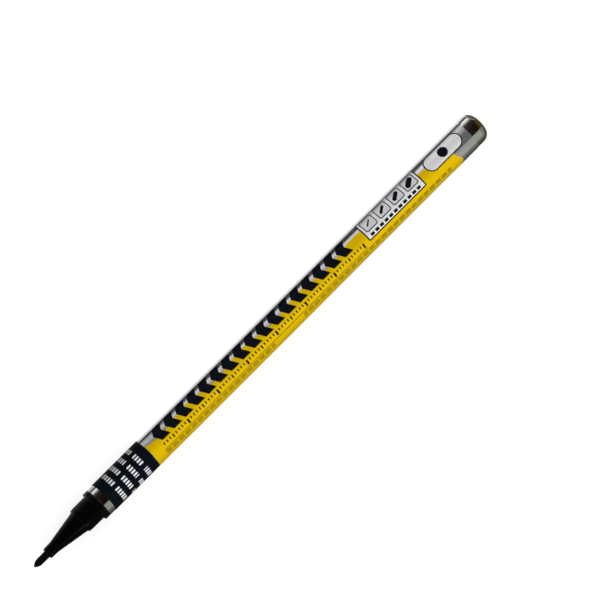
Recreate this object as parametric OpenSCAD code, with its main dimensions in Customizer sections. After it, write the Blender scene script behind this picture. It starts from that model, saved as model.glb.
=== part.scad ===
// Slim valve-action paint marker, lying along X with its nib towards -X.
// Each piece is turned about one axis: outlines are [radius, distance behind the nib's point].

/* [Barrel] */
// Outside diameter of the bare metal tube
barrel_d = 8; // [7:0.1:12]
// Length of the tube from its mouth to its closed end
barrel_len = 130.95; // [90:0.05:180]
// Wall of the tube
barrel_wall = 0.4; // [0.3:0.05:0.6]
// Wall of the closed end
barrel_end_wall = 0.6; // [0.4:0.05:1]
// Outside radius of the closed end's corner
barrel_corner = 2.2; // [0.8:0.1:2.8]

/* [Films] */
// Thickness of the printed films
film = 0.06; // [0.04:0.01:0.1]
// Thickness of the adhesive under the films
adhesive = 0.02; // [0.01:0.01:0.04]
// Bare metal in front of the colour band
front_bare = 1.8; // [0.5:0.1:5]
// Length of the colour band
band_len = 14.75; // [8:0.05:25]
// Gap between the colour band and the label
film_gap = 0.1; // [0.05:0.05:0.5]
// Bare metal behind the label, its rounded corner included
rear_bare = 4.4; // [3:0.1:10]
// Width of the overlap that closes a film round the tube
film_overlap = 2; // [1:0.1:4]
// Place of that overlap, in degrees from the tube's lowest line towards +Y
overlap_at = 40; // [20:5:140]

/* [Nose] */
// Length of the straight sleeve round the nib
sleeve_len = 2.45; // [1:0.05:5]
// Wall of the sleeve at its front edge
sleeve_wall = 0.46; // [0.3:0.02:0.7]
// Growth of the sleeve's radius along its length
sleeve_draft = 0.1; // [0:0.02:0.2]
// Length of the cone behind the sleeve
cone_len = 8.45; // [6:0.05:12]
// Step from the wide end of the cone up to the cap seat
cone_step = 0.36; // [0.1:0.02:0.6]
// Length of the cap seat, its lead included
seat_len = 4.85; // [3:0.05:8]
// Depth of the cap seat below the tube's surface
seat_depth = 0.62; // [0.4:0.02:0.9]
// Length of the tapered lead at the front of the cap seat
lead_len = 1.2; // [0.4:0.1:2]
// Rise of that lead
lead_rise = 0.1; // [0.04:0.02:0.2]
// Length of the flange that meets the tube's mouth
flange_len = 1.4; // [0.8:0.1:3]
// Bevel on the sleeve's and flange's front edges
nose_edge = 0.12; // [0.05:0.01:0.25]
// Clearance of the plug inside the tube
plug_fit = 0.06; // [0.03:0.01:0.1]
// Height of the plug's sealing beads, a little less than its clearance
bead_rise = 0.05; // [0.02:0.01:0.09]
// Radius of a sealing bead's section
bead_r = 0.3; // [0.2:0.05:0.5]
// Distance of the first bead behind the flange, and from bead to bead
bead_pitch = 3; // [2:0.1:4]

/* [Nib] */
// Diameter of the nib
nib_d = 1.84; // [1.2:0.02:2.4]
// Length of nib that stands out of the nose
nib_out = 4.3; // [3:0.1:6]
// Length of the pointed ogive, before its tip is rounded
ogive_len = 2.05; // [1.2:0.05:2.8]
// Radius of the rounded tip
tip_r = 0.22; // [0.1:0.02:0.3]
// Running clearance of the nib in its guide
nib_fit = 0.03; // [0.02:0.01:0.06]
// Length of the guide bore behind the nose's front face
guide_len = 6.3; // [4:0.1:8]
// Room for paint round the nib behind the guide
paint_gap = 0.4; // [0.2:0.05:0.6]
// Width of a rib that steadies the nib behind the guide
rib_w = 0.5; // [0.3:0.05:0.8]
// Number of those ribs
rib_count = 4; // [3:1:6]
// Depth of a rib's root in the wall
rib_root = 0.1; // [0.05:0.05:0.2]

/* [Valve] */
// Travel of the nib and the valve stem
stroke = 1.5; // [0.8:0.1:2]
// Diameter of the bore that holds the valve
valve_bore_d = 5.2; // [4.3:0.1:5.8]
// Reach of that bore forward into the flange
valve_inset = 0.4; // [0.2:0.1:0.8]
// Clearance round the pieces pressed into the bore
press_gap = 0.02; // [0.01:0.01:0.04]
// Thickness of the rubber seat
seat_thick = 1.6; // [1.2:0.1:2.4]
// Diameter of the port through the seat
port_d = 1.8; // [1.6:0.1:2.2]
// Depth of the seat's conical mouth, which opens at 45 degrees
port_cone = 0.7; // [0.4:0.05:0.9]
// Gap along the axis between the seat and the stem's cone
seal_gap = 0.04; // [0.02:0.01:0.1]
// Diameter of the pin that meets the nib
pin_d = 1.2; // [0.8:0.1:1.4]
// Room left between the nib at full travel and the seat
nib_stop = 0.3; // [0.2:0.1:0.6]
// Room for paint round the stem's head
head_gap = 0.4; // [0.25:0.05:0.5]
// Length of the head behind its cone
head_len = 0.7; // [0.4:0.1:1.2]
// Diameter of the guide pin behind the head
guide_d = 1.5; // [1:0.1:1.8]
// Running clearance of the guide pin in the cage
guide_fit = 0.05; // [0.03:0.01:0.1]
// Length of guide pin that stands out behind the cage
guide_out = 0.3; // [0.2:0.1:1]
// Wall of the cage
cage_wall = 0.48; // [0.3:0.02:0.6]
// Wall of the cage's end
cage_end = 1.2; // [0.8:0.1:2]
// Number of paint ports in the cage's end
cage_ports = 4; // [3:1:5]
// Diameter of a paint port
cage_port_d = 0.8; // [0.5:0.1:0.9]
// Length of the snap lip that holds the cage
lip_len = 0.6; // [0.4:0.1:1]
// Height of that lip inside the bore
lip_rise = 0.15; // [0.1:0.05:0.25]
// Clearance along the axis between the cage and the lip
lip_gap = 0.05; // [0.02:0.01:0.1]
// Length of the spring with the valve shut
spring_len = 6; // [5:0.1:8]
// Diameter of the spring's wire
spring_wire = 0.3; // [0.2:0.02:0.36]
// Turns of the spring
spring_turns = 7; // [5:1:8]
// Clearance between the spring and the guide pin
spring_fit = 0.25; // [0.15:0.05:0.3]
// Clearance at each end of the spring
spring_gap = 0.02; // [0.01:0.01:0.05]

/* [Mixing ball] */
// Diameter of the ball
ball_d = 5; // [3:0.1:5.4]
// Clearance under the ball
ball_gap = 0.1; // [0.05:0.05:0.2]
// Rest place of the ball behind the tube's mouth
ball_rest = 40.6; // [20:0.1:60]

/* [Hidden] */
$fn = 96;
// Straight stretches in one arc of an outline
arc_steps = 12;
// Sides of the spring's wire, and rings of points in one turn
spring_sides = 6;
spring_rings = 8;
bead_count = 2;
// Overrun of a cut past the face that it opens
cut = 0.5;

// Radii
barrel_r = barrel_d / 2;
inside_r = barrel_r - barrel_wall;
film_r = barrel_r + adhesive;
film_out_r = film_r + film;
nib_r = nib_d / 2;
nib_bore_r = nib_r + nib_fit;
sleeve_r = nib_bore_r + sleeve_wall;
seat_r = barrel_r - seat_depth;
lead_r = seat_r - lead_rise;
cone_r = lead_r - cone_step;
plug_r = inside_r - plug_fit;
chamber_r = nib_r + paint_gap;
valve_bore_r = valve_bore_d / 2;
pressed_r = valve_bore_r - press_gap;
cage_r = pressed_r - cage_wall;
head_r = cage_r - head_gap;
port_r = port_d / 2;
pin_r = pin_d / 2;
guide_r = guide_d / 2;
guide_bore_r = guide_r + guide_fit;
spring_r = guide_r + spring_fit + spring_wire / 2;
ball_r = ball_d / 2;

// Stations along the axis, measured from the nib's point
face_z = nib_out;
sleeve_z = face_z + sleeve_len;
cone_z = sleeve_z + cone_len;
seat_z = cone_z + seat_len;
mouth_z = seat_z + flange_len;
end_z = mouth_z + barrel_len;
band_z = mouth_z + front_bare;
label_z = band_z + band_len + film_gap;
label_len = end_z - rear_bare - label_z;
guide_z = face_z + guide_len;
valve_z = mouth_z - valve_inset;
nib_end_z = valve_z - stroke - nib_stop;
ring_z = valve_z + seat_thick;
// Where the stem's cone would be as wide as the port
head_z = ring_z - port_cone + seal_gap;
spring_z = head_z + head_r - port_r + head_len;
cage_end_z = spring_z + spring_len;
cage_z = cage_end_z + cage_end;
lip_z = cage_z + lip_gap;
plug_z = lip_z + lip_len;

// The films carry the marker, so its axis lies their outside radius above the ground
axis_h = film_out_r;

// Lays a piece turned about Z down along X, with the middle of the marker above the origin
module lay() {
    translate([-end_z / 2, 0, axis_h]) rotate([0, 90, 0]) children();
}

// Closed-end rod with a rounded rear corner, as the outline of half its section
module rounded_rod(r, from_z, to_z, corner) {
    translate([0, from_z]) square([r, to_z - corner - from_z]);
    translate([0, from_z]) square([r - corner, to_z - from_z]);
    translate([r - corner, to_z - corner]) intersection() {
        circle(corner);
        square(corner);
    }
}

// Film round the tube, with its free edge lying over its start
module film_wrap(from_z, len) {
    overlap_deg = film_overlap / film_out_r * 180 / PI;
    rotate_extrude() translate([film_r, from_z]) square([film, len]);
    rotate([0, 0, overlap_at]) rotate_extrude(angle = overlap_deg)
        translate([film_r, from_z]) square([2 * film, len]);
}

// Straight round shape along the axis, for a solid or a hole
module rod(r, from_z, to_z) {
    translate([0, 0, from_z]) cylinder(r = r, h = to_z - from_z);
}

// Points of an arc after its first, with angles from the radial direction towards the rear
function arc(centre, r, from_deg, to_deg) = [
    for (i = [1:arc_steps])
        let (a = from_deg + (to_deg - from_deg) * i / arc_steps)
        centre + r * [cos(a), sin(a)]
];

module barrel() {
    inside_corner = max(barrel_corner - barrel_wall, barrel_wall);
    color("silver") lay() rotate_extrude() difference() {
        rounded_rod(barrel_r, mouth_z, end_z, barrel_corner);
        rounded_rod(inside_r, mouth_z - cut, end_z - barrel_end_wall, inside_corner);
    }
}

module label_wrap() {
    color("gold") lay() film_wrap(label_z, label_len);
}

module colour_band() {
    color("midnightblue") lay() film_wrap(band_z, band_len);
}

module nib_holder() {
    color([0.05, 0.05, 0.055]) lay() {
        difference() {
            union() {
                nose_outside();
                plug_beads();
            }
            rod(nib_bore_r, face_z - cut, guide_z);
            rod(chamber_r, guide_z, valve_z);
            rod(valve_bore_r, valve_z, lip_z);
            rod(valve_bore_r - lip_rise, lip_z, plug_z + cut);
        }
        nib_ribs();
    }
}

module nose_outside() {
    rotate_extrude() polygon([
        [0, face_z],
        [sleeve_r - nose_edge, face_z],
        [sleeve_r, face_z + nose_edge],
        [sleeve_r + sleeve_draft, sleeve_z],
        [cone_r, cone_z],
        [lead_r, cone_z],
        [seat_r, cone_z + lead_len],
        [seat_r, seat_z],
        [barrel_r - nose_edge, seat_z],
        [barrel_r, seat_z + nose_edge],
        [barrel_r, mouth_z],
        [plug_r, mouth_z],
        [plug_r, plug_z - nose_edge],
        [plug_r - nose_edge, plug_z],
        [0, plug_z]
    ]);
}

module plug_beads() {
    for (i = [1:bead_count])
        translate([0, 0, mouth_z + i * bead_pitch]) rotate_extrude()
            translate([plug_r + bead_rise - bead_r, 0]) circle(bead_r);
}

// Ribs that steady the nib behind its guide, up to one nib diameter short of the nib's end
module nib_ribs() {
    ribs_z = guide_z + paint_gap;
    ribs_len = nib_end_z - nib_d - ribs_z;
    translate([0, 0, ribs_z]) linear_extrude(ribs_len) difference() {
        intersection() {
            circle(chamber_r + rib_root);
            for (i = [0:rib_count - 1])
                rotate(360 * i / rib_count) translate([0, -rib_w / 2]) square([barrel_r, rib_w]);
        }
        circle(nib_bore_r);
    }
}

// Fibre rod whose point is an ogive with a rounded tip
module nib() {
    ogive_r = (nib_r * nib_r + ogive_len * ogive_len) / nib_d;
    tip_back = sqrt(pow(ogive_r - tip_r, 2) - pow(ogive_r - nib_r, 2));
    ogive_z = tip_r + tip_back;
    join_deg = asin(tip_back / (ogive_r - tip_r));
    color([0.08, 0.08, 0.08]) lay() rotate_extrude() polygon(concat(
        [[0, 0]],
        arc([0, tip_r], tip_r, -90, -join_deg),
        arc([nib_r - ogive_r, ogive_z], ogive_r, -join_deg, 0),
        [[nib_r, nib_end_z], [0, nib_end_z]]
    ));
}

module valve_seat() {
    color("dimgray") lay() difference() {
        rod(pressed_r, valve_z, ring_z);
        rod(port_r, valve_z - cut, ring_z + cut);
        translate([0, 0, ring_z - port_cone])
            cylinder(r1 = port_r, r2 = port_r + port_cone + cut, h = port_cone + cut);
    }
}

module valve_stem() {
    color("ivory") lay() rotate_extrude() polygon([
        [0, nib_end_z],
        [pin_r, nib_end_z],
        [pin_r, head_z + pin_r - port_r],
        [head_r, head_z + head_r - port_r],
        [head_r, spring_z],
        [guide_r, spring_z],
        [guide_r, cage_z + guide_out],
        [0, cage_z + guide_out]
    ]);
}

module valve_spring() {
    rise = spring_len - spring_wire - 2 * spring_gap;
    ring_count = spring_turns * spring_rings;
    points = [
        for (i = [0:ring_count], k = [0:spring_sides - 1])
            let (
                turn = 360 * i / spring_rings,
                side = 360 * k / spring_sides,
                r = spring_r + spring_wire / 2 * cos(side),
                z = rise * i / ring_count + spring_wire / 2 * sin(side)
            )
            [r * cos(turn), r * sin(turn), z]
    ];
    sides = [
        for (i = [0:ring_count - 1], k = [0:spring_sides - 1], half = [0, 1])
            let (
                a = i * spring_sides + k,
                b = i * spring_sides + (k + 1) % spring_sides
            )
            half == 0 ? [a, b, b + spring_sides] : [a, b + spring_sides, a + spring_sides]
    ];
    first_end = [for (k = [1:spring_sides - 2]) [0, k + 1, k]];
    last = ring_count * spring_sides;
    last_end = [for (k = [1:spring_sides - 2]) [last, last + k, last + k + 1]];
    color("lightsteelblue") lay()
        translate([0, 0, spring_z + spring_gap + spring_wire / 2])
            polyhedron(points, concat(sides, first_end, last_end));
}

module valve_cage() {
    port_ring_r = (guide_bore_r + cage_r) / 2;
    color("whitesmoke") lay() difference() {
        rod(pressed_r, ring_z, cage_z);
        rod(cage_r, ring_z - cut, cage_end_z);
        rod(guide_bore_r, cage_end_z - cut, cage_z + cut);
        for (i = [0:cage_ports - 1])
            rotate(360 * i / cage_ports) translate([port_ring_r, 0, 0])
                rod(cage_port_d / 2, cage_end_z - cut, cage_z + cut);
    }
}

module mixing_ball() {
    color("gainsboro") lay()
        translate([inside_r - ball_r - ball_gap, 0, mouth_z + ball_rest]) sphere(d = ball_d);
}

barrel();
label_wrap();
colour_band();
nib_holder();
nib();
valve_seat();
valve_stem();
valve_spring();
valve_cage();
mixing_ball();
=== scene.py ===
from math import ceil, cos, hypot, pi, radians, sin, sqrt, tan

import bmesh
import bpy
from mathutils import Matrix, Vector, noise


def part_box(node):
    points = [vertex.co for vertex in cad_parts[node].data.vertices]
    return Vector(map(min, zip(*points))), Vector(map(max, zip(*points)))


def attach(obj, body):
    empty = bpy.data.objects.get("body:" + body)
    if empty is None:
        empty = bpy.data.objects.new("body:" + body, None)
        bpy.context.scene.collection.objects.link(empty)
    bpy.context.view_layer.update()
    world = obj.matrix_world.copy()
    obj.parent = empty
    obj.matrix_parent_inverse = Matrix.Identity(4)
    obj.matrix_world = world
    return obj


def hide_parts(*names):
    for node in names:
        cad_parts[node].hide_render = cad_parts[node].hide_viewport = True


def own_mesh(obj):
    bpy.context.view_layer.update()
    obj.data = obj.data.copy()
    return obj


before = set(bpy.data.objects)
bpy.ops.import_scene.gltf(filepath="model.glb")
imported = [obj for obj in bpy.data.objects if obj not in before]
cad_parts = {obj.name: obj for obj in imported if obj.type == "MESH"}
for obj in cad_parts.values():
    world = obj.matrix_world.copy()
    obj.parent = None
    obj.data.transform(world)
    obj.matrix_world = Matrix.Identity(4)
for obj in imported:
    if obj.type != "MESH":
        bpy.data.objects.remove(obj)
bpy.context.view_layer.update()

# Slim valve-action paint marker, lying along X with its nib towards -X.
# Sizes are in mm, and the studio's in metres. A station is a distance behind the nib's point, and a
# turn is an angle round the axis, from the top towards -Y.
MM = 0.001
TIP_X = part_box("nib")[0].x
AXIS_H = (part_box("barrel")[0].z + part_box("barrel")[1].z) / 2


def span(node):
    """Front and rear station of a CAD node."""
    low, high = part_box(node)
    return (low.x - TIP_X) / MM, (high.x - TIP_X) / MM


def outside_radius(node):
    """Radius of a CAD node that is round about the axis."""
    low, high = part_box(node)
    return (high.z - low.z) / 2 / MM


MOUTH, END = span("barrel")
BAND = span("colour_band")
LABEL = span("label_wrap")
FACE, PLUG_END = span("nib_holder")
NIB_END = span("nib")[1]
BARREL_R = outside_radius("barrel")
FILM_R = outside_radius("label_wrap")
NIB_R = outside_radius("nib")

# Tube
BARREL_WALL = 0.4
END_WALL = 0.6
END_CORNER = 2.2
MOUTH_EDGE = 0.03

# Films: one sheet each, wound once round the tube with its end over its start, and turns in degrees
FILM = 0.055
LAYER_GAP = 0.005
OVERLAP_FROM = -140
OVERLAP_TO = -112
RAMP = 8

# Nose, from its face to the end of its plug
SLEEVE_END = FACE + 2.45
CONE_END = SLEEVE_END + 8.45
SEAT_LEAD = CONE_END + 1.2
SEAT_END = CONE_END + 4.85
SLEEVE_R = 1.41
SLEEVE_END_R = 1.51
CONE_R = 2.92
LEAD_R = 3.28
SEAT_R = 3.38
PLUG_R = 3.54
BEAD_RISE = 0.05
BEAD_HALF = 0.17
BEAD_PITCH = 3
NIB_BORE_R = NIB_R + 0.03
BORE_LEAD = 0.1
GUIDE_END = FACE + 6.3
CHAMBER_R = 1.32
VALVE_BORE = MOUTH - 0.4
VALVE_BORE_R = 2.6
LIP = PLUG_END - 0.6
LIP_R = 2.45
RIBS = (GUIDE_END + 0.4, NIB_END - 1.84)
RIB_HALF = 0.25
PARTING_RISE = 0.012
PARTING_FROM_R = SLEEVE_R - 0.15

# Fillets of the nose
FACE_EDGE = 0.14
SLEEVE_BLEND = 0.8
CONE_EDGE = 0.06
LEAD_EDGE = 0.1
SEAT_BLEND = 0.6
SEAT_ROOT = 0.08
FLANGE_EDGE = 0.16
FLANGE_REAR_EDGE = 0.05
BEAD_EDGE = 0.2
PLUG_EDGE = 0.12
LIP_EDGE = 0.1

# Nib
OGIVE_LEN = 2.05
TIP_R = 0.3
FIBRE_DEPTH = 0.014
FIBRE_LEN = 3
FIBRE_FINENESS = 9
FIBRE_GAIN = 1.6

# Spring
WIRE = 0.3
SPRING_R = 1.15
SPRING_TURNS = 7

# Fineness of the meshes, with angles in degrees
SIDES = 256
FILM_STEP = 1.5
FILM_SLICES = 44
ARC_STEPS = 20
SHANK_SLICES = 24
FILLET_STEPS = 4
FILLET_STEPS_PER_MM = 8
WIRE_SIDES = 12
COIL_RINGS = 32
SHARP_FROM = 32


# Shapes

def spot(station, radius, turn):
    """Place in metres of a point given by its station, radius and turn in radians."""
    return Vector((
        TIP_X + station * MM,
        -radius * sin(turn) * MM,
        AXIS_H + radius * cos(turn) * MM,
    ))


def rounded(corners):
    """Outline points from corners (station, radius, fillet), with each fillet as an arc."""
    points = []
    for i, (station, radius, fillet) in enumerate(corners):
        here = Vector((station, radius))
        if fillet == 0:
            points.append(here)
            continue
        before = (Vector(corners[i - 1][:2]) - here).normalized()
        after = (Vector(corners[(i + 1) % len(corners)][:2]) - here).normalized()
        half = before.angle(after) / 2
        centre = here + (before + after).normalized() * fillet / sin(half)
        first = here + before * fillet / tan(half) - centre
        last = here + after * fillet / tan(half) - centre
        steps = FILLET_STEPS + ceil(FILLET_STEPS_PER_MM * fillet)
        for k in range(steps + 1):
            points.append(centre + first.lerp(last, k / steps).normalized() * fillet)
    return points


def turned(outline, waver=None):
    """Solid turned from an outline. It runs from axis to axis, or else it is a closed loop."""
    shape = bmesh.new()
    rings = []
    for station, radius in outline:
        if radius == 0:
            rings.append([shape.verts.new(spot(station, 0, 0))])
            continue
        ring = []
        for k in range(SIDES):
            turn = 2 * pi * k / SIDES
            r = waver(station, radius, turn) if waver else radius
            ring.append(shape.verts.new(spot(station, r, turn)))
        rings.append(ring)
    following = rings[1:]
    if len(rings[0]) > 1:
        following.append(rings[0])
    for here, there in zip(rings, following):
        for k in range(SIDES):
            corners = [
                here[k % len(here)],
                here[(k + 1) % len(here)],
                there[(k + 1) % len(there)],
                there[k % len(there)],
            ]
            shape.faces.new(dict.fromkeys(corners))
    return shape


def tube_shape():
    """Tube that is open at the nose, and closed and rounded at the rear."""
    inside_r = BARREL_R - BARREL_WALL
    return turned(rounded([
        (END - END_WALL, 0, 0),
        (END - END_WALL, inside_r, END_CORNER - BARREL_WALL),
        (MOUTH, inside_r, MOUTH_EDGE),
        (MOUTH, BARREL_R, MOUTH_EDGE),
        (END, BARREL_R, END_CORNER),
        (END, 0, 0),
    ]))


def film_section():
    """Outside of a wound film as (turn in degrees, radius), from its covered start to its free end."""
    last = OVERLAP_TO + 360
    steps = ceil((last - OVERLAP_FROM) / FILM_STEP)
    ramp_from = OVERLAP_FROM + 360 - RAMP
    section = []
    for k in range(steps + 1):
        turn = OVERLAP_FROM + (last - OVERLAP_FROM) * k / steps
        share = min(max((turn - ramp_from) / RAMP, 0), 1)
        lift = share * share * (3 - 2 * share) * (FILM + LAYER_GAP)
        section.append((turn, FILM_R + lift))
    return section


def film_shape(front, rear):
    """Wound film of real thickness, closed by its own overlap."""
    outside = film_section()
    inside = [(turn, radius - FILM) for turn, radius in reversed(outside)]
    loop = outside + inside
    shape = bmesh.new()
    rows = []
    for i in range(FILM_SLICES + 1):
        station = front + (rear - front) * i / FILM_SLICES
        rows.append([shape.verts.new(spot(station, r, radians(turn))) for turn, r in loop])
    count = len(loop)
    for here, there in zip(rows, rows[1:]):
        for k in range(count):
            after = (k + 1) % count
            shape.faces.new((here[k], here[after], there[after], there[k]))
    for row in (rows[0], rows[-1]):
        for k in range(len(outside) - 1):
            shape.faces.new((row[k], row[k + 1], row[count - 2 - k], row[count - 1 - k]))
    return shape


def nose_outline():
    """Closed loop round the nose's wall: over its outside to the plug, and back through its bores."""
    beads = []
    for i in (1, 2):
        middle = MOUTH + i * BEAD_PITCH
        beads += [
            (middle - BEAD_HALF, PLUG_R, 0),
            (middle, PLUG_R + BEAD_RISE, BEAD_EDGE),
            (middle + BEAD_HALF, PLUG_R, 0),
        ]
    return rounded([
        (FACE + BORE_LEAD, NIB_BORE_R, 0),
        (FACE, NIB_BORE_R + BORE_LEAD, 0),
        (FACE, SLEEVE_R, FACE_EDGE),
        (SLEEVE_END, SLEEVE_END_R, SLEEVE_BLEND),
        (CONE_END, CONE_R, CONE_EDGE),
        (CONE_END, LEAD_R, LEAD_EDGE),
        (SEAT_LEAD, SEAT_R, SEAT_BLEND),
        (SEAT_END, SEAT_R, SEAT_ROOT),
        (SEAT_END, BARREL_R, FLANGE_EDGE),
        (MOUTH, BARREL_R, FLANGE_REAR_EDGE),
        (MOUTH, PLUG_R, 0),
        *beads,
        (PLUG_END, PLUG_R, PLUG_EDGE),
        (PLUG_END, LIP_R, LIP_EDGE),
        (LIP, LIP_R, 0),
        (LIP, VALVE_BORE_R, 0),
        (VALVE_BORE, VALVE_BORE_R, 0),
        (VALVE_BORE, CHAMBER_R, 0),
        (RIBS[1] + BORE_LEAD, CHAMBER_R, 0),
        (RIBS[1], CHAMBER_R, 0),
        (RIBS[0], CHAMBER_R, 0),
        (RIBS[0] - BORE_LEAD, CHAMBER_R, 0),
        (GUIDE_END, CHAMBER_R, 0),
        (GUIDE_END, NIB_BORE_R, 0),
    ])


def nose_waver(station, radius, turn):
    """Raises the mould's parting lines on both sides, and four ribs that steady the nib inside."""
    in_ribs = radius == CHAMBER_R and RIBS[0] <= station <= RIBS[1]
    if in_ribs and CHAMBER_R * abs(sin(2 * turn)) / 2 < RIB_HALF:
        return NIB_BORE_R
    parted = radius > PARTING_FROM_R and station < MOUTH and not in_ribs
    if parted and abs(cos(turn)) < sin(pi / SIDES):
        return radius + PARTING_RISE
    return radius


def nib_outline():
    """Ogive with a rounded tip on a straight shank."""
    ogive_r = (NIB_R ** 2 + OGIVE_LEN ** 2) / (2 * NIB_R)
    tip_back = sqrt((ogive_r - TIP_R) ** 2 - (ogive_r - NIB_R) ** 2)
    shoulder = TIP_R + tip_back
    join = Vector((shoulder - TIP_R, ogive_r - NIB_R)).angle(Vector((0, 1)))
    points = [Vector((0, 0))]
    for k in range(1, ARC_STEPS + 1):
        lean = pi / 2 + (join - pi / 2) * k / ARC_STEPS
        points.append(Vector((TIP_R - TIP_R * sin(lean), TIP_R * cos(lean))))
    for k in range(1, ARC_STEPS + 1):
        lean = join * (1 - k / ARC_STEPS)
        points.append(Vector((shoulder - ogive_r * sin(lean), NIB_R - ogive_r + ogive_r * cos(lean))))
    for k in range(1, SHANK_SLICES + 1):
        points.append(Vector((shoulder + (NIB_END - shoulder) * k / SHANK_SLICES, NIB_R)))
    points.append(Vector((NIB_END, 0)))
    return points


def nib_waver(station, radius, turn):
    """Cuts shallow furrows between the fibres, which run along the nib."""
    place = (FIBRE_FINENESS * cos(turn), FIBRE_FINENESS * sin(turn), station / FIBRE_LEN)
    furrow = noise.noise(Vector(place))
    return radius - FIBRE_DEPTH * min(abs(furrow) * FIBRE_GAIN, 1) * radius / NIB_R


def spring_shape():
    """Coil with closed end turns."""
    front, rear = span("valve_spring")
    rise = rear - front - WIRE
    open_pitch = (rise - 2 * WIRE) / (SPRING_TURNS - 2)
    shape = bmesh.new()
    rings = []
    for i in range(SPRING_TURNS * COIL_RINGS + 1):
        t = i / COIL_RINGS
        middle = min(max(t - 1, 0), SPRING_TURNS - 2)
        along = front + WIRE / 2 + (t - middle) * WIRE + middle * open_pitch
        ring = []
        for k in range(WIRE_SIDES):
            side = 2 * pi * k / WIRE_SIDES
            station = along + WIRE / 2 * sin(side)
            radius = SPRING_R + WIRE / 2 * cos(side)
            ring.append(shape.verts.new(spot(station, radius, 2 * pi * t)))
        rings.append(ring)
    for here, there in zip(rings, rings[1:]):
        for k in range(WIRE_SIDES):
            after = (k + 1) % WIRE_SIDES
            shape.faces.new((here[k], here[after], there[after], there[k]))
    shape.faces.new(rings[0])
    shape.faces.new(rings[-1])
    return shape


def add(name, shape):
    """Object of that name with the shape as its mesh, smooth but for its sharp edges."""
    bmesh.ops.recalc_face_normals(shape, faces=shape.faces)
    mesh = bpy.data.meshes.new(name)
    shape.to_mesh(mesh)
    shape.free()
    mesh.shade_smooth()
    mesh.set_sharp_from_angle(angle=radians(SHARP_FROM))
    thing = bpy.data.objects.new(name, mesh)
    thing.modifiers.new("flat_sides", "WEIGHTED_NORMAL").keep_sharp = True
    bpy.context.scene.collection.objects.link(thing)
    return thing


def piece(name, shape, look, node, body="barrel"):
    """Adds a piece that stands for a CAD node and moves with its body."""
    thing = add(name, shape)
    thing.data.materials.append(look)
    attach(thing, body)
    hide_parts(node)
    return thing


# Tools for materials

class Field:
    """A number that varies over a surface, worked out by a material's math nodes."""

    def __init__(self, tree, source):
        self.tree = tree
        self.source = source

    def to(self, operation, *others):
        """Result of a math node that takes this field and the others."""
        node = self.tree.nodes.new("ShaderNodeMath")
        node.operation = operation
        for socket, value in zip(node.inputs, (self, *others)):
            feed(self.tree, socket, value)
        return Field(self.tree, node.outputs[0])

    def __add__(self, other):
        return self.to("ADD", other)

    def __sub__(self, other):
        return self.to("SUBTRACT", other)

    def __mul__(self, other):
        return self.to("MULTIPLY", other)

    def __gt__(self, other):
        return self.to("GREATER_THAN", other)

    def __lt__(self, other):
        return self.to("LESS_THAN", other)

    def __and__(self, other):
        return self.to("MULTIPLY", other)

    def __or__(self, other):
        return self.to("MAXIMUM", other)

    def __abs__(self):
        return self.to("ABSOLUTE")

    def less(self, other):
        """This mask without the other one."""
        return (self - other).to("MAXIMUM", 0)

    def within(self, low, high):
        """Mask that is 1 from low to high."""
        return self.to("COMPARE", (low + high) / 2, (high - low) / 2)

    def repeat(self, pitch):
        """Distance from the nearest multiple of the pitch."""
        return self.to("PINGPONG", pitch / 2)


def feed(tree, socket, value):
    """Links a field or a socket, or sets a plain value."""
    if isinstance(value, Field):
        value = value.source
    if isinstance(value, bpy.types.NodeSocket):
        tree.links.new(value, socket)
    else:
        socket.default_value = value


def mixed(tree, mask, below, above):
    """Colour that is above where the mask is 1 and below where it is 0."""
    node = tree.nodes.new("ShaderNodeMix")
    node.data_type = "RGBA"
    # The node's colours are its inputs 6 and 7 and its output 2
    feed(tree, node.inputs[0], mask)
    feed(tree, node.inputs[6], below)
    feed(tree, node.inputs[7], above)
    return node.outputs[2]


def rgb(red, green, blue):
    """Colour of 0 to 255 screen values, as linear light."""
    return tuple((c / 255 / 12.92 if c < 11 else ((c / 255 + 0.055) / 1.055) ** 2.4)
                 for c in (red, green, blue)) + (1,)


def new_look(name):
    """Material of that name, its node tree and its shader."""
    look = bpy.data.materials.new(name)
    look.use_nodes = True
    return look, look.node_tree, look.node_tree.nodes["Principled BSDF"]


def placed(tree):
    """Station in mm and turn in degrees, as fields."""
    place = tree.nodes.new("ShaderNodeTexCoord").outputs["Object"]
    parts = tree.nodes.new("ShaderNodeSeparateXYZ")
    tree.links.new(place, parts.inputs[0])
    x, y, z = (Field(tree, socket) for socket in parts.outputs)
    station = (x - TIP_X) * (1 / MM)
    turn = (y * -1).to("ARCTAN2", z - AXIS_H) * (180 / pi)
    return station, turn


def grain(tree, along, across, detail=3):
    """Noise from 0 to 1 with spots of that size in mm along and across the axis."""
    place = tree.nodes.new("ShaderNodeTexCoord").outputs["Object"]
    scaled = tree.nodes.new("ShaderNodeMapping")
    scaled.inputs["Scale"].default_value = (1 / (along * MM), 1 / (across * MM), 1 / (across * MM))
    pattern = tree.nodes.new("ShaderNodeTexNoise")
    pattern.inputs["Scale"].default_value = 1
    pattern.inputs["Detail"].default_value = detail
    tree.links.new(place, scaled.inputs["Vector"])
    tree.links.new(scaled.outputs[0], pattern.inputs["Vector"])
    return Field(tree, pattern.outputs[0])


def spread(field, low=0, high=1):
    """A noise field with its middle stretched to run from low to high."""
    middle_from, middle_to = 0.3, 0.7
    node = field.tree.nodes.new("ShaderNodeMapRange")
    feed(field.tree, node.inputs["Value"], field)
    node.inputs["From Min"].default_value = middle_from
    node.inputs["From Max"].default_value = middle_to
    node.inputs["To Min"].default_value = low
    node.inputs["To Max"].default_value = high
    return Field(field.tree, node.outputs[0])


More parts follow.
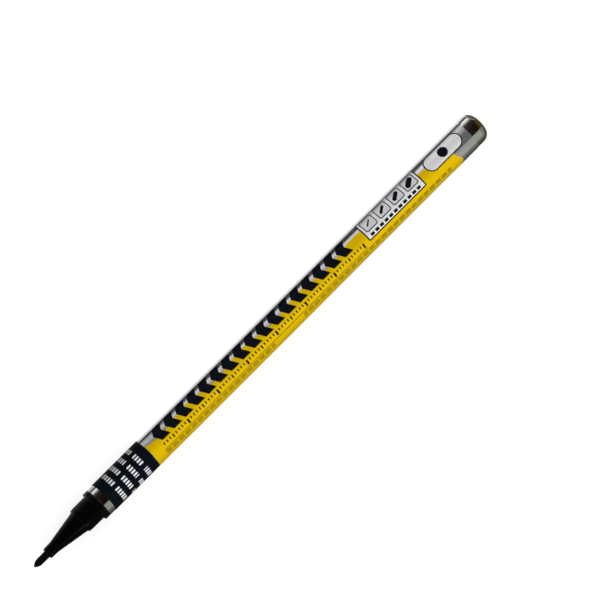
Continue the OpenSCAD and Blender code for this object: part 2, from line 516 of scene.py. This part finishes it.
def bumped(tree, shader, height, depth):
    """Bump of a height field, whose step of 1 stands that many mm high."""
    node = tree.nodes.new("ShaderNodeBump")
    node.inputs["Distance"].default_value = depth * MM
    feed(tree, node.inputs["Height"], height)
    tree.links.new(node.outputs[0], shader.inputs["Normal"])


# Colours
TUBE_STAIN = rgb(226, 229, 224)
TUBE_BRIGHT = rgb(238, 239, 235)
NOSE_BLACK = rgb(3, 3, 4)
NOSE_RUBBED = rgb(38, 38, 38)
NIB_BLACK = rgb(2, 2, 2)
NIB_FRAYED = rgb(12, 11, 10)
SILVER = rgb(224, 223, 226)
YELLOW = rgb(249, 206, 1)
NAVY = rgb(10, 15, 23)
WHITE = rgb(226, 226, 230)
PANEL = rgb(253, 253, 254)
GREY = rgb(238, 238, 240)


# Tube, nose and nib

def metal_look():
    """Drawn tube with fine lines along it and a few stains."""
    look, tree, shader = new_look("drawn_metal")
    lines = grain(tree, along=40, across=0.09)
    stains = grain(tree, along=5, across=1.5)
    shader.inputs["Metallic"].default_value = 1
    feed(tree, shader.inputs["Base Color"], mixed(tree, spread(stains), TUBE_STAIN, TUBE_BRIGHT))
    feed(tree, shader.inputs["Roughness"], spread(lines, low=0.02, high=0.045))
    bumped(tree, shader, lines, depth=0.0002)
    return look


def nose_look():
    """Black moulding, rubbed a little along its edges."""
    look, tree, shader = new_look("moulded_black")
    station, _ = placed(tree)
    orange_peel = grain(tree, along=0.35, across=0.35, detail=2)
    rub = spread(grain(tree, along=0.5, across=0.25, detail=4), low=-0.6)
    face_before, face_after = 0.05, 0.2
    before, after = 0.08, 0.22
    edge = station.within(FACE - face_before, FACE + face_after)
    for place in (SLEEVE_END, CONE_END, SEAT_END):
        edge = edge | station.within(place - before, place + after)
    most_worn, worn_rough = 0.25, 0.2
    worn = (edge & rub).to("MAXIMUM", 0) * most_worn
    gloss = spread(orange_peel, low=0.14, high=0.2)
    feed(tree, shader.inputs["Base Color"], mixed(tree, worn, NOSE_BLACK, NOSE_RUBBED))
    feed(tree, shader.inputs["Roughness"], gloss + worn * worn_rough)
    shader.inputs["Specular IOR Level"].default_value = 0.18
    bumped(tree, shader, orange_peel, depth=0.004)
    return look


def nib_look():
    """Dense black fibres, a little paler where they fray."""
    look, tree, shader = new_look("nib_fibre")
    fibres = grain(tree, along=2.5, across=0.05)
    feed(tree, shader.inputs["Base Color"], mixed(tree, spread(fibres), NIB_BLACK, NIB_FRAYED))
    feed(tree, shader.inputs["Roughness"], spread(fibres, low=0.62, high=0.8))
    shader.inputs["Specular IOR Level"].default_value = 0.1
    bumped(tree, shader, fibres, depth=0.012)
    return look


# Print of the films. Its x is the station, and its y runs round the film, in mm from the top
# towards -Y.
MM_PER_DEGREE = FILM_R * pi / 180
PRINT_DEPTH = 0.003
PRINT_FRONT = LABEL[0] + 3.1
SCALE_END = LABEL[0] + 72.4
YELLOW_END = LABEL[1] - 5.7
CHART_X = (LABEL[0] + 73.7, LABEL[0] + 93.5)
CHART_Y = (-4.2, 1.75)
SWATCH_X = (LABEL[1] - 14, LABEL[1] - 2)
SWATCH_Y = (-3.6, 0.9)
BLANK_X = (LABEL[1] - 50, LABEL[1] - 8)
BLANK_Y = (5.2, 10.6)
STRIPES_X = (LABEL[0] + 5.9, LABEL[0] + 53.9)
STRIPES_Y = (5.1, 10.7)
FOIL_METALLIC = 0.95
INK_METALLIC = 0.45
FOIL_ROUGH = 0.12
INK_ROUGH = 0.28
RUB_ROUGH = 0.02


def middle_of(pair):
    """Middle of a span on the print."""
    return (pair[0] + pair[1]) / 2


def distance(across, around):
    """Length of a step on the print."""
    return (across * across + around * around).to("SQRT")


def off_box(x, y, x_span, y_span, corner):
    """Distance outside a box of the print whose corners are rounded; below zero inside it."""
    half_x = (x_span[1] - x_span[0]) / 2 - corner
    half_y = (y_span[1] - y_span[0]) / 2 - corner
    across = (abs(x - middle_of(x_span)) - half_x).to("MAXIMUM", 0)
    around = (abs(y - middle_of(y_span)) - half_y).to("MAXIMUM", 0)
    return distance(across, around) - corner


def yellow_field(x, y):
    """Yellow over the -Y half, with waved borders, short of the label's rear end."""
    top, bottom = -1.5, 12.4
    wave_len, wave_half = 19, 0.5
    ripple_len, ripple_half = 5.2, 0.6
    wave = (x * (2 * pi / wave_len)).to("SINE") * wave_half
    ripple = (y * (2 * pi / ripple_len)).to("SINE") * ripple_half
    return (y > wave + top) & (y < wave + bottom) & (x + ripple < YELLOW_END)


def chevrons(x, y):
    """Row of bold arrowheads that point to the nib."""
    pitch, count, stroke = 3.9, 17, 2.65
    middle, half = -1.85, 2.1
    lean = 0.55
    leaned = x - abs(y - middle) * lean - PRINT_FRONT
    run = leaned.within(0, pitch * count) & y.within(middle - half, middle + half)
    return run & (leaned.to("FLOORED_MODULO", pitch) < stroke)


def ruler(x, y):
    """Scale in mm, with longer marks at 5 and 10 mm."""
    top, margin = 0.8, 0.3
    marks = None
    for pitch, half, length in ((1, 0.17, 0.7), (5, 0.2, 1), (10, 0.26, 1.3)):
        row = (x.repeat(pitch) < half) & y.within(top, top + length)
        marks = row if marks is None else marks | row
    return marks & x.within(PRINT_FRONT + margin, SCALE_END)


def fine_rows(x, y):
    """A thin rule and two rows of dashes on the yellow."""
    rule_y, upper_y, lower_y = (2.4, 2.56), (2.95, 3.2), (3.55, 3.8)
    front_run = (PRINT_FRONT, LABEL[0] + 39.9)
    rear_run = (LABEL[0] + 49.9, LABEL[1] - 9)
    dash_pitch, dash_half = 2.1, 0.85
    rule = y.within(*rule_y) & x.within(PRINT_FRONT, SCALE_END)
    rows = y.within(*upper_y) | y.within(*lower_y)
    dashes = (x.repeat(dash_pitch) < dash_half) & rows
    return rule | (dashes & (x.within(*front_run) | x.within(*rear_run)))


def stripes(x, y):
    """Block of thin lines on the back of the label."""
    pitch, half = 0.7, 0.07
    return (y.repeat(pitch) < half) & x.within(*STRIPES_X) & y.within(*STRIPES_Y)


def tile_print(x, y):
    """Row of tiles as a distance off the nearest one, and a slanted stroke on each that grows wider."""
    first, pitch = CHART_X[0] + 2.85, 4.7
    middle, corner = -1.95, 0.6
    half_x, half_y = 1.95, 1.75
    slant_x, slant_y = 0.6, 0.8
    stroke_half_len, thinnest, growth = 0.8, 0.2, 0.17
    number = ((x - (first - pitch / 2)) * (1 / pitch)).to("FLOOR")
    across = x - number * pitch - first
    around = y - middle
    tile = off_box(across, around, (-half_x, half_x), (-half_y, half_y), corner)
    off_line = across * slant_x + around * slant_y
    off_end = (abs(around * slant_x - across * slant_y) - stroke_half_len).to("MAXIMUM", 0)
    stroke = distance(off_line, off_end) < number * growth + thinnest
    return tile, stroke


def chart_print(x, y):
    """Panel, ink and grey of a chart: tiles with strokes of growing width over a row of dashes."""
    border, tile_border, corner = 0.34, 0.25, 0.4
    dash_pitch, dash_half, margin = 1.6, 0.55, 1.2
    row_y = (0.4, 1.15)
    chart = off_box(x, y, CHART_X, CHART_Y, corner)
    panel = chart < 0
    tile, stroke = tile_print(x, y)
    row = x.within(CHART_X[0] + margin, CHART_X[1] - margin) & y.within(*row_y)
    dashes = (x.repeat(dash_pitch) < dash_half) & row
    inside = (tile.within(-tile_border, 0) | stroke | dashes) & panel
    return panel, chart.within(-border, 0) | inside, (tile < 0) & panel


def swatch_print(x, y):
    """Panel and ink of a swatch: a long rounded panel with a spot in its middle."""
    border, corner, spot_r = 0.3, 2.2, 1.35
    swatch = off_box(x, y, SWATCH_X, SWATCH_Y, corner)
    panel = swatch < 0
    sample = distance(x - middle_of(SWATCH_X), y - middle_of(SWATCH_Y)) < spot_r
    return panel, swatch.within(-border, 0) | (sample & panel)


def blank_print(x, y):
    """Panel and ink of an empty panel with a thin border."""
    border, corner = 0.2, 0.6
    blank = off_box(x, y, BLANK_X, BLANK_Y, corner)
    return blank < 0, blank.within(-border, 0)


def film_rub(tree):
    """Fine rubbing along a film, from 0 to 1."""
    return spread(grain(tree, along=3, across=0.12))


def label_look():
    """Silver film with a generic print: waved field, arrowheads, scale, chart, swatch and panel."""
    look, tree, shader = new_look("printed_film")
    x, turn = placed(tree)
    seam = (OVERLAP_FROM + OVERLAP_TO) / 2
    y = ((turn - seam).to("FLOORED_MODULO", 360) + seam) * MM_PER_DEGREE
    yellow = yellow_field(x, y)
    chart, chart_ink, grey = chart_print(x, y)
    swatch, swatch_ink = swatch_print(x, y)
    blank, blank_ink = blank_print(x, y)
    panels = chart | swatch | blank
    navy = (chevrons(x, y) | ruler(x, y) | fine_rows(x, y)).less(panels)
    navy = navy | chart_ink | swatch_ink | blank_ink | stripes(x, y)

    colour = mixed(tree, yellow, SILVER, YELLOW)
    colour = mixed(tree, panels, colour, PANEL)
    colour = mixed(tree, grey, colour, GREY)
    colour = mixed(tree, navy, colour, NAVY)
    printed = yellow | panels | navy
    sheen = (yellow | panels) * (INK_METALLIC - FOIL_METALLIC) + FOIL_METALLIC
    rough = printed * (INK_ROUGH - FOIL_ROUGH) + film_rub(tree) * RUB_ROUGH + FOIL_ROUGH
    feed(tree, shader.inputs["Base Color"], colour)
    feed(tree, shader.inputs["Metallic"], sheen.less(navy))
    feed(tree, shader.inputs["Roughness"], rough)
    shader.inputs["Specular IOR Level"].default_value = 0.06
    bumped(tree, shader, printed + navy, PRINT_DEPTH)
    return look


def dash_rings(x, y):
    """Four rings of dashes round the band, each with longer gaps at a pitch of its own."""
    first, pitch, half_len, shift = BAND[0] + 3.3, 2.75, 0.62, 0.9
    dash_pitch, dash_half = 0.8, 0.22
    gap_pitch, gap_step, gap_half = 5.4, 0.4, 0.6
    rings = None
    for i in range(4):
        middle = first + i * pitch
        shifted = y + shift * i
        gaps = shifted.repeat(gap_pitch - gap_step * i) > gap_half
        dashes = (shifted.repeat(dash_pitch) < dash_half) & gaps
        ring = dashes & x.within(middle - half_len, middle + half_len)
        rings = ring if rings is None else rings | ring
    return rings


def band_look():
    """Dark film with rings of white dashes."""
    look, tree, shader = new_look("dark_film")
    x, turn = placed(tree)
    white = dash_rings(x, turn * MM_PER_DEGREE)
    rub = film_rub(tree)
    smoothest, rubbed, rub_height = 0.42, 0.08, 0.1
    feed(tree, shader.inputs["Base Color"], mixed(tree, white, NAVY, WHITE))
    feed(tree, shader.inputs["Roughness"], rub * rubbed + smoothest)
    shader.inputs["Specular IOR Level"].default_value = 0.04
    bumped(tree, shader, white + rub * rub_height, PRINT_DEPTH)
    return look


# Inner pieces

def plain_look(name, dark, pale, rough, metallic=0, along=0.3, across=0.3):
    """Finish of an inner piece, with a fine grain in its colour, gloss and surface."""
    look, tree, shader = new_look(name)
    spots = grain(tree, along, across)
    rough_half = 0.06
    feed(tree, shader.inputs["Base Color"], mixed(tree, spread(spots), dark, pale))
    feed(tree, shader.inputs["Roughness"], spread(spots, rough - rough_half, rough + rough_half))
    shader.inputs["Metallic"].default_value = metallic
    bumped(tree, shader, spots, depth=0.004)
    return look


def finish_cad(node, look):
    """Gives a CAD node that stays as it is a better material."""
    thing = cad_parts[node]
    thing.data.materials.clear()
    thing.data.materials.append(look)


# The marker

piece("tube", tube_shape(), metal_look(), "barrel")
piece("label_film", film_shape(*LABEL), label_look(), "label_wrap")
piece("band_film", film_shape(*BAND), band_look(), "colour_band")
piece("nose", turned(nose_outline(), nose_waver), nose_look(), "nib_holder")
piece("fibre_nib", turned(nib_outline(), nib_waver), nib_look(), "nib", "nib")
spring_steel = plain_look(
    "spring_steel", rgb(176, 180, 184), rgb(206, 209, 212), rough=0.25, metallic=1, along=1, across=0.05,
)
spring = piece("coil_spring", spring_shape(), spring_steel, "valve_spring")
fixed_end = spot(span("valve_spring")[1], 0, 0)
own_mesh(spring)

seat_rubber = plain_look("seat_rubber", rgb(46, 46, 47), rgb(64, 64, 64), rough=0.6)
stem_plastic = plain_look("stem_plastic", rgb(226, 222, 208), rgb(238, 235, 224), rough=0.4)
cage_plastic = plain_look("cage_plastic", rgb(228, 229, 228), rgb(241, 242, 240), rough=0.4)
ball_steel = plain_look("ball_steel", rgb(190, 192, 194), rgb(222, 224, 226), rough=0.18, metallic=1)
finish_cad("valve_seat", seat_rubber)
finish_cad("valve_stem", stem_plastic)
finish_cad("valve_cage", cage_plastic)
finish_cad("mixing_ball", ball_steel)


# Studio, with its sizes in metres

TILT = radians(10.8)
ROLL = radians(44.95)
CAMERA_FROM = 0.959
LOOK_AT = Vector((0.0141, 0.00028, AXIS_H))
BACK = Vector((-sin(TILT), 0, cos(TILT)))
CAMERA_AT = LOOK_AT + BACK * CAMERA_FROM
LENS = 240

FLOOR_REACH = 12
FLOOR_PALE = (0.94, 0.94, 0.94, 1)
FLOOR_DIM = (0.55, 0.55, 0.55, 1)
FLOOR_GLOW = 0.1
ROOM = (0.009, 0.0052, 0.0042, 1)
BACKDROP = (1, 1, 1, 1)

# Tints of the cards
NEUTRAL = (1, 1, 1)
COOL = (0.95, 1, 0.97)
GREENISH = (0.92, 1, 0.89)
BROWN = (1, 0.62, 0.48)
AMBER = (1, 0.54, 0.13)
SANDY = (1, 0.94, 0.76)

# How far the cards reach, and the heights of those that lie on the floor
REACH = 1.2
SIDE = 0.5
BEFORE_SIDE = SIDE - 0.01
CEILING = 1.3
CEILING_STEPS = 10
SHADE_H = 0.00005
MAT_H = 2 * SHADE_H
WEDGE_H = 3 * SHADE_H

# Borders along X between the stretches of the marker that mirror different cards
NOSE_REAR = TIP_X + MOUTH * MM
FILM_FRONT = TIP_X + LABEL[0] * MM
FILM_REAR = TIP_X + LABEL[1] * MM
END_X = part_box("barrel")[1].x
FRONT_BORDER = NOSE_REAR - 0.006
LAST_BORDER = FILM_REAR - 0.014
REAR_BORDER = FILM_REAR - 0.004
TURN_BORDER = END_X + 0.02
CORNER_BORDER = END_X + 0.12
MAT_FRONT = -0.15
MAT_BORDER = NOSE_REAR - 0.002
MAT_REAR = END_X + 0.05

# Panes of the walls beside the marker, one above the other as (top, glow)
WINDOW = [(0.097, 0.95), (0.18, 0.62), (0.265, 0.26), (0.36, 0.07)]
ABOVE_WINDOW = [(0.6, 0.035), (CEILING, 0.018)]
SOFT_WINDOW = [
    (0.14, 0.04), (0.235, 0.76), (0.32, 0.73), (0.42, 0.64),
    (0.53, 0.54), (0.67, 0.43), (0.85, 0.33), (CEILING, 0.22),
]
SOFT_GREY = [(0.2, 0.42), (0.35, 0.42), (0.5, 0.38), (0.65, 0.34), (0.85, 0.26), (CEILING, 0.16)]
SOFT_CEILING = 0.16
NOSE_WINDOW = [(0.08, 0.3), (0.2, 0.12), (CEILING, 0.03)]
NOSE_GREY = [(0.66, 0.04)]
GREY_STEPS = (0.2, 0.35, 0.5)
GREY_RIM = 0.06
GREY_RIM_GLOW = 0.2

# Stretches of bare metal: name, stretch, glow and top of the grey side, and share of the window's glow
METAL_STRETCHES = [
    ("front", (FRONT_BORDER, FILM_FRONT), 0.31, 0.6, 1),
    ("rear", (REAR_BORDER, TURN_BORDER), 0.34, 0.7, 1),
    ("turn", (TURN_BORDER, CORNER_BORDER), 0.27, 0.7, 0.7),
    ("corner", (CORNER_BORDER, REACH), 0.2, 0.7, 0.3),
]

# Stretches of film: name, stretch, and share of the soft window's glow
FILM_STRETCHES = [
    ("film", (FILM_FRONT, LAST_BORDER), 1),
    ("last", (LAST_BORDER, REAR_BORDER), 2),
]

# Mats on the floor, one beyond the other as (far edge, glow)
NOSE_MATS_NEAR = 0.002
NOSE_MATS = [(0.03, 0.45), (BEFORE_SIDE, 0.35)]
# Painted shade under the nose at -Y: a dark card that stands in for its shadow on the floor in reflections
NOSE_SHADE = [(-BEFORE_SIDE, 0.05)]
FRONT_MATS = [(0.005, 0.85), (0.0105, 0.68), (0.018, 0.44), (0.031, 0.15), (BEFORE_SIDE, 0.05)]
FILM_MATS = [(0.0105, 1.05), (0.016, 0.75), (0.021, 0.15), (BEFORE_SIDE, 0.03)]
# Under the closed end the first three steps darken towards the marker: painted shade where it meets the
# floor
REAR_MATS = [
    (0.001, 0.15), (0.002, 0.4), (0.0034, 0.7), (0.0085, 0.85), (0.0136, 0.58), (0.05, 0.08),
]
# Painted shade at -Y: dark cards that stand in for the marker's shadow on the floor in reflections,
# darkest next to it and paler further off
SHADE = [(-0.008, 0.04), (-0.013, 0.065), (-0.024, 0.105), (-0.06, 0.165), (-SIDE, 0.2)]

# Wall behind the closed end, as panes (top, glow)
REAR_WALL = [(0.4, 0.08), (0.8, 0.065), (CEILING, 0.04)]
REAR_WALL_X = 0.9
REAR_WALL_HALF = 0.33

# Wedges on the floor behind the closed end: name, distances behind it, sideways slopes and colour
WEDGES = [
    ("rear_near", (0.0005, 0.03), (-0.4, 0.4), (0.085, 0.058, 0.034)),
    ("rear_far", (0.03, 0.8), (-0.4, 0.4), (0.095, 0.074, 0.05)),
    ("rear_side", (0.0005, 0.8), (0.4, 1.3), (0.12, 0.106, 0.085)),
    ("rear_soft", (0.012, 0.8), (1.3, 1.75), (0.42, 0.43, 0.42)),
    ("rear_pale", (0.012, 0.8), (1.75, 2.6), (0.68, 0.71, 0.68)),
]

# Soft cards before and beside the nose: name, spans along x, y and z, and glow
NOSE_CARDS = [
    ("front_card", (-0.9, -0.9), (-1, 1), (0.35, 1.2), 0.6),
    ("seat_card", (-0.125, -0.1), (-BEFORE_SIDE, -BEFORE_SIDE), (0.08, 0.35), 2),
    ("cone_card", (-0.38, -0.22), (-BEFORE_SIDE, -BEFORE_SIDE), (0.08, 0.35), 1.6),
]


def add_camera():
    """Camera above the marker, leaning towards its nib and rolled so that it crosses the picture."""
    along = Vector((cos(TILT), 0, sin(TILT)))
    side = Vector((0, 1, 0))
    right = along * cos(ROLL) - side * sin(ROLL)
    up = along * sin(ROLL) + side * cos(ROLL)
    lens = bpy.data.cameras.new("camera")
    lens.lens = LENS
    camera = bpy.data.objects.new("camera", lens)
    camera.matrix_world = Matrix((right, up, BACK)).transposed().to_4x4()
    camera.location = CAMERA_AT
    bpy.context.scene.collection.objects.link(camera)
    bpy.context.scene.camera = camera


def sheet_of(name, corners):
    """Stage piece that is one face with those corners."""
    shape = bmesh.new()
    shape.faces.new([shape.verts.new(corner) for corner in corners])
    mesh = bpy.data.meshes.new(name)
    shape.to_mesh(mesh)
    shape.free()
    thing = bpy.data.objects.new(name, mesh)
    bpy.context.scene.collection.objects.link(thing)
    return thing


def add_floor():
    """Pale floor that glows faintly, and that throws less of its light back on the marker."""
    corners = [(x * FLOOR_REACH, y * FLOOR_REACH, 0) for x, y in ((-1, -1), (1, -1), (1, 1), (-1, 1))]
    floor = sheet_of("floor", corners)
    look, tree, pale = new_look("pale_floor")
    pale.inputs["Base Color"].default_value = FLOOR_PALE
    pale.inputs["Roughness"].default_value = 1
    pale.inputs["Specular IOR Level"].default_value = 0
    pale.inputs["Emission Color"].default_value = (1, 1, 1, 1)
    pale.inputs["Emission Strength"].default_value = FLOOR_GLOW
    dim = tree.nodes.new("ShaderNodeBsdfDiffuse")
    dim.inputs["Color"].default_value = FLOOR_DIM
    path = tree.nodes.new("ShaderNodeLightPath")
    chosen = tree.nodes.new("ShaderNodeMixShader")
    tree.links.new(path.outputs["Is Diffuse Ray"], chosen.inputs[0])
    tree.links.new(pale.outputs[0], chosen.inputs[1])
    tree.links.new(dim.outputs[0], chosen.inputs[2])
    tree.links.new(chosen.outputs[0], tree.nodes["Material Output"].inputs["Surface"])
    floor.data.materials.append(look)


def add_card(name, corners, colour):
    """Studio card that only reflections see."""
    card = sheet_of(name, corners)
    look = bpy.data.materials.new(name)
    look.use_nodes = True
    tree = look.node_tree
    tree.nodes.clear()
    glow = tree.nodes.new("ShaderNodeEmission")
    glow.inputs["Color"].default_value = (*colour, 1)
    output = tree.nodes.new("ShaderNodeOutputMaterial")
    tree.links.new(glow.outputs[0], output.inputs["Surface"])
    look.cycles.emission_sampling = "NONE"
    card.data.materials.append(look)
    card.visible_camera = False
    card.visible_diffuse = False
    card.visible_shadow = False


def tinted(tint, glow):
    """Colour of a tint that glows that much."""
    return tuple(glow * share for share in tint)


def mirrored(x, y, z):
    """Point at y and z that the camera sees mirrored in the marker's upper side at x."""
    slope = (x - CAMERA_AT.x) / (CAMERA_AT.z - AXIS_H)
    return x + slope * hypot(y, z), y, z


def add_wall(name, y, stretch, low, panes, tint):
    """Upright cards for a stretch of the marker to mirror, one above the other from low up."""
    front, rear = stretch
    for i, (high, glow) in enumerate(panes):
        corners = [
            mirrored(front, y, low),
            mirrored(rear, y, low),
            mirrored(rear, y, high),
            mirrored(front, y, high),
        ]
        add_card(f"{name}_{i}", corners, tinted(tint, glow))
        low = high


def add_mats(name, stretch, height, near, mats, tint):
    """Cards on the floor for a stretch of the marker to mirror, one beyond the other."""
    front, rear = stretch
    for i, (far, glow) in enumerate(mats):
        corners = [
            mirrored(front, near, height),
            mirrored(rear, near, height),
            mirrored(rear, far, height),
            mirrored(front, far, height),
        ]
        add_card(f"{name}_{i}", corners, tinted(tint, glow))
        near = far


def add_ceiling(name, stretch, colour):
    """Level card overhead for a stretch of the marker to mirror, with curved ends."""
    front, rear = stretch
    across = [SIDE * (2 * k / CEILING_STEPS - 1) for k in range(CEILING_STEPS + 1)]
    corners = [mirrored(front, y, CEILING) for y in across]
    corners += [mirrored(rear, y, CEILING) for y in reversed(across)]
    add_card(name, corners, colour)


def add_metal_walls():
    """What bare metal mirrors: a bright window and a dark wall over it at +Y, and a grey side at -Y."""
    above = WINDOW[-1][0]
    for name, stretch, grey, top, share in METAL_STRETCHES:
        side = [(height, grey) for height in (*GREY_STEPS, top)]
        side.append((top + GREY_RIM, GREY_RIM_GLOW))
        add_wall(name + "_window", SIDE, stretch, 0, WINDOW, tinted(COOL, share))
        add_wall(name + "_above", SIDE, stretch, above, ABOVE_WINDOW, BROWN)
        add_wall(name + "_grey", -SIDE, stretch, 0, side, GREENISH)


def add_film_walls():
    """What the label mirrors: a soft window at +Y, a grey side at -Y and a dim ceiling."""
    for name, stretch, share in FILM_STRETCHES:
        add_wall(name + "_window", SIDE, stretch, 0, SOFT_WINDOW, tinted(NEUTRAL, share))
        add_wall(name + "_grey", -SIDE, stretch, 0, SOFT_GREY, NEUTRAL)
        add_ceiling(name + "_ceiling", stretch, tinted(NEUTRAL, SOFT_CEILING * share))


def add_nose_walls():
    """What the nose mirrors: a low window at +Y and a dark side at -Y."""
    nose = (-REACH, FRONT_BORDER)
    add_wall("nose_window", SIDE, nose, 0, NOSE_WINDOW, NEUTRAL)
    add_wall("nose_grey", -SIDE, nose, 0, NOSE_GREY, NEUTRAL)


def add_floor_mats():
    """What the marker's sides mirror low down: pale floor at +Y, and painted shade at -Y: dark cards that
    stand in for the marker's shadow on the floor.
    """
    below_nose = (MAT_FRONT, MAT_BORDER)
    below_front = (MAT_BORDER, FILM_FRONT)
    below_film = (FILM_FRONT, FILM_REAR)
    below_rear = (FILM_REAR, MAT_REAR)
    add_mats("nose_mats", below_nose, MAT_H, NOSE_MATS_NEAR, NOSE_MATS, NEUTRAL)
    # Painted shade under the nose at -Y
    add_mats("nose_shade", below_nose, MAT_H, -NOSE_MATS_NEAR, NOSE_SHADE, NEUTRAL)
    add_mats("front_mats", below_front, MAT_H, 0, FRONT_MATS, NEUTRAL)
    add_mats("film_mats", below_film, MAT_H, 0, FILM_MATS, NEUTRAL)
    add_mats("rear_mats", below_rear, MAT_H, 0, REAR_MATS, COOL)
    # Painted shade: dark cards at -Y in place of the marker's shadow on the floor
    add_mats("shade", (-REACH, REACH), SHADE_H, 0, SHADE, SANDY)


def add_wedge(name, distances, slopes, colour):
    """Card on the floor behind the closed end, between two sideways slopes."""
    half = BARREL_R * MM
    near, far = distances
    low, high = slopes
    corners = [
        (END_X + near, low * (half + near), WEDGE_H),
        (END_X + far, low * (half + far), WEDGE_H),
        (END_X + far, high * (half + far), WEDGE_H),
        (END_X + near, high * (half + near), WEDGE_H),
    ]
    add_card(name, corners, colour)


def add_upright(name, x, y, z, colour):
    """Upright card across x or y, given by its lowest and highest x, y and z."""
    corners = [(x[0], y[0], z[0]), (x[1], y[1], z[0]), (x[1], y[1], z[1]), (x[0], y[0], z[1])]
    add_card(name, corners, colour)


def add_ends():
    """Amber wall and wedges behind the closed end, and soft cards before and beside the nose."""
    across = (-REAR_WALL_HALF, REAR_WALL_HALF)
    low = 0
    for i, (high, glow) in enumerate(REAR_WALL):
        add_upright(f"rear_wall_{i}", (REAR_WALL_X, REAR_WALL_X), across, (low, high), tinted(AMBER, glow))
        low = high
    for wedge in WEDGES:
        add_wedge(*wedge)
    for name, x, y, z, glow in NOSE_CARDS:
        add_upright(name, x, y, z, tinted(NEUTRAL, glow))


def add_sun(name, strength, lean, softness, shadow):
    """Soft light from overhead that leans to -Y by that angle, and that reflections don't see."""
    lamp = bpy.data.lights.new(name, "SUN")
    lamp.energy = strength
    lamp.angle = radians(softness)
    lamp.use_shadow = shadow
    sun = bpy.data.objects.new(name, lamp)
    sun.rotation_euler = (radians(lean), 0, 0)
    sun.visible_glossy = False
    bpy.context.scene.collection.objects.link(sun)


def add_world():
    """Dark room for reflections, and a pale backdrop for the camera."""
    world = bpy.data.worlds.new("studio")
    bpy.context.scene.world = world
    world.use_nodes = True
    tree = world.node_tree
    room = tree.nodes["Background"]
    room.inputs["Color"].default_value = ROOM
    backdrop = tree.nodes.new("ShaderNodeBackground")
    backdrop.inputs["Color"].default_value = BACKDROP
    path = tree.nodes.new("ShaderNodeLightPath")
    chosen = tree.nodes.new("ShaderNodeMixShader")
    tree.links.new(path.outputs["Is Camera Ray"], chosen.inputs[0])
    tree.links.new(room.outputs[0], chosen.inputs[1])
    tree.links.new(backdrop.outputs[0], chosen.inputs[2])
    tree.links.new(chosen.outputs[0], tree.nodes["World Output"].inputs["Surface"])


add_camera()
add_floor()
add_world()
add_sun("key", strength=2.6, lean=30, softness=60, shadow=False)
add_sun("fill", strength=1.0, lean=0, softness=170, shadow=True)
add_metal_walls()
add_film_walls()
add_nose_walls()
add_floor_mats()
add_ends()
bpy.context.scene.view_settings.view_transform = "Standard"
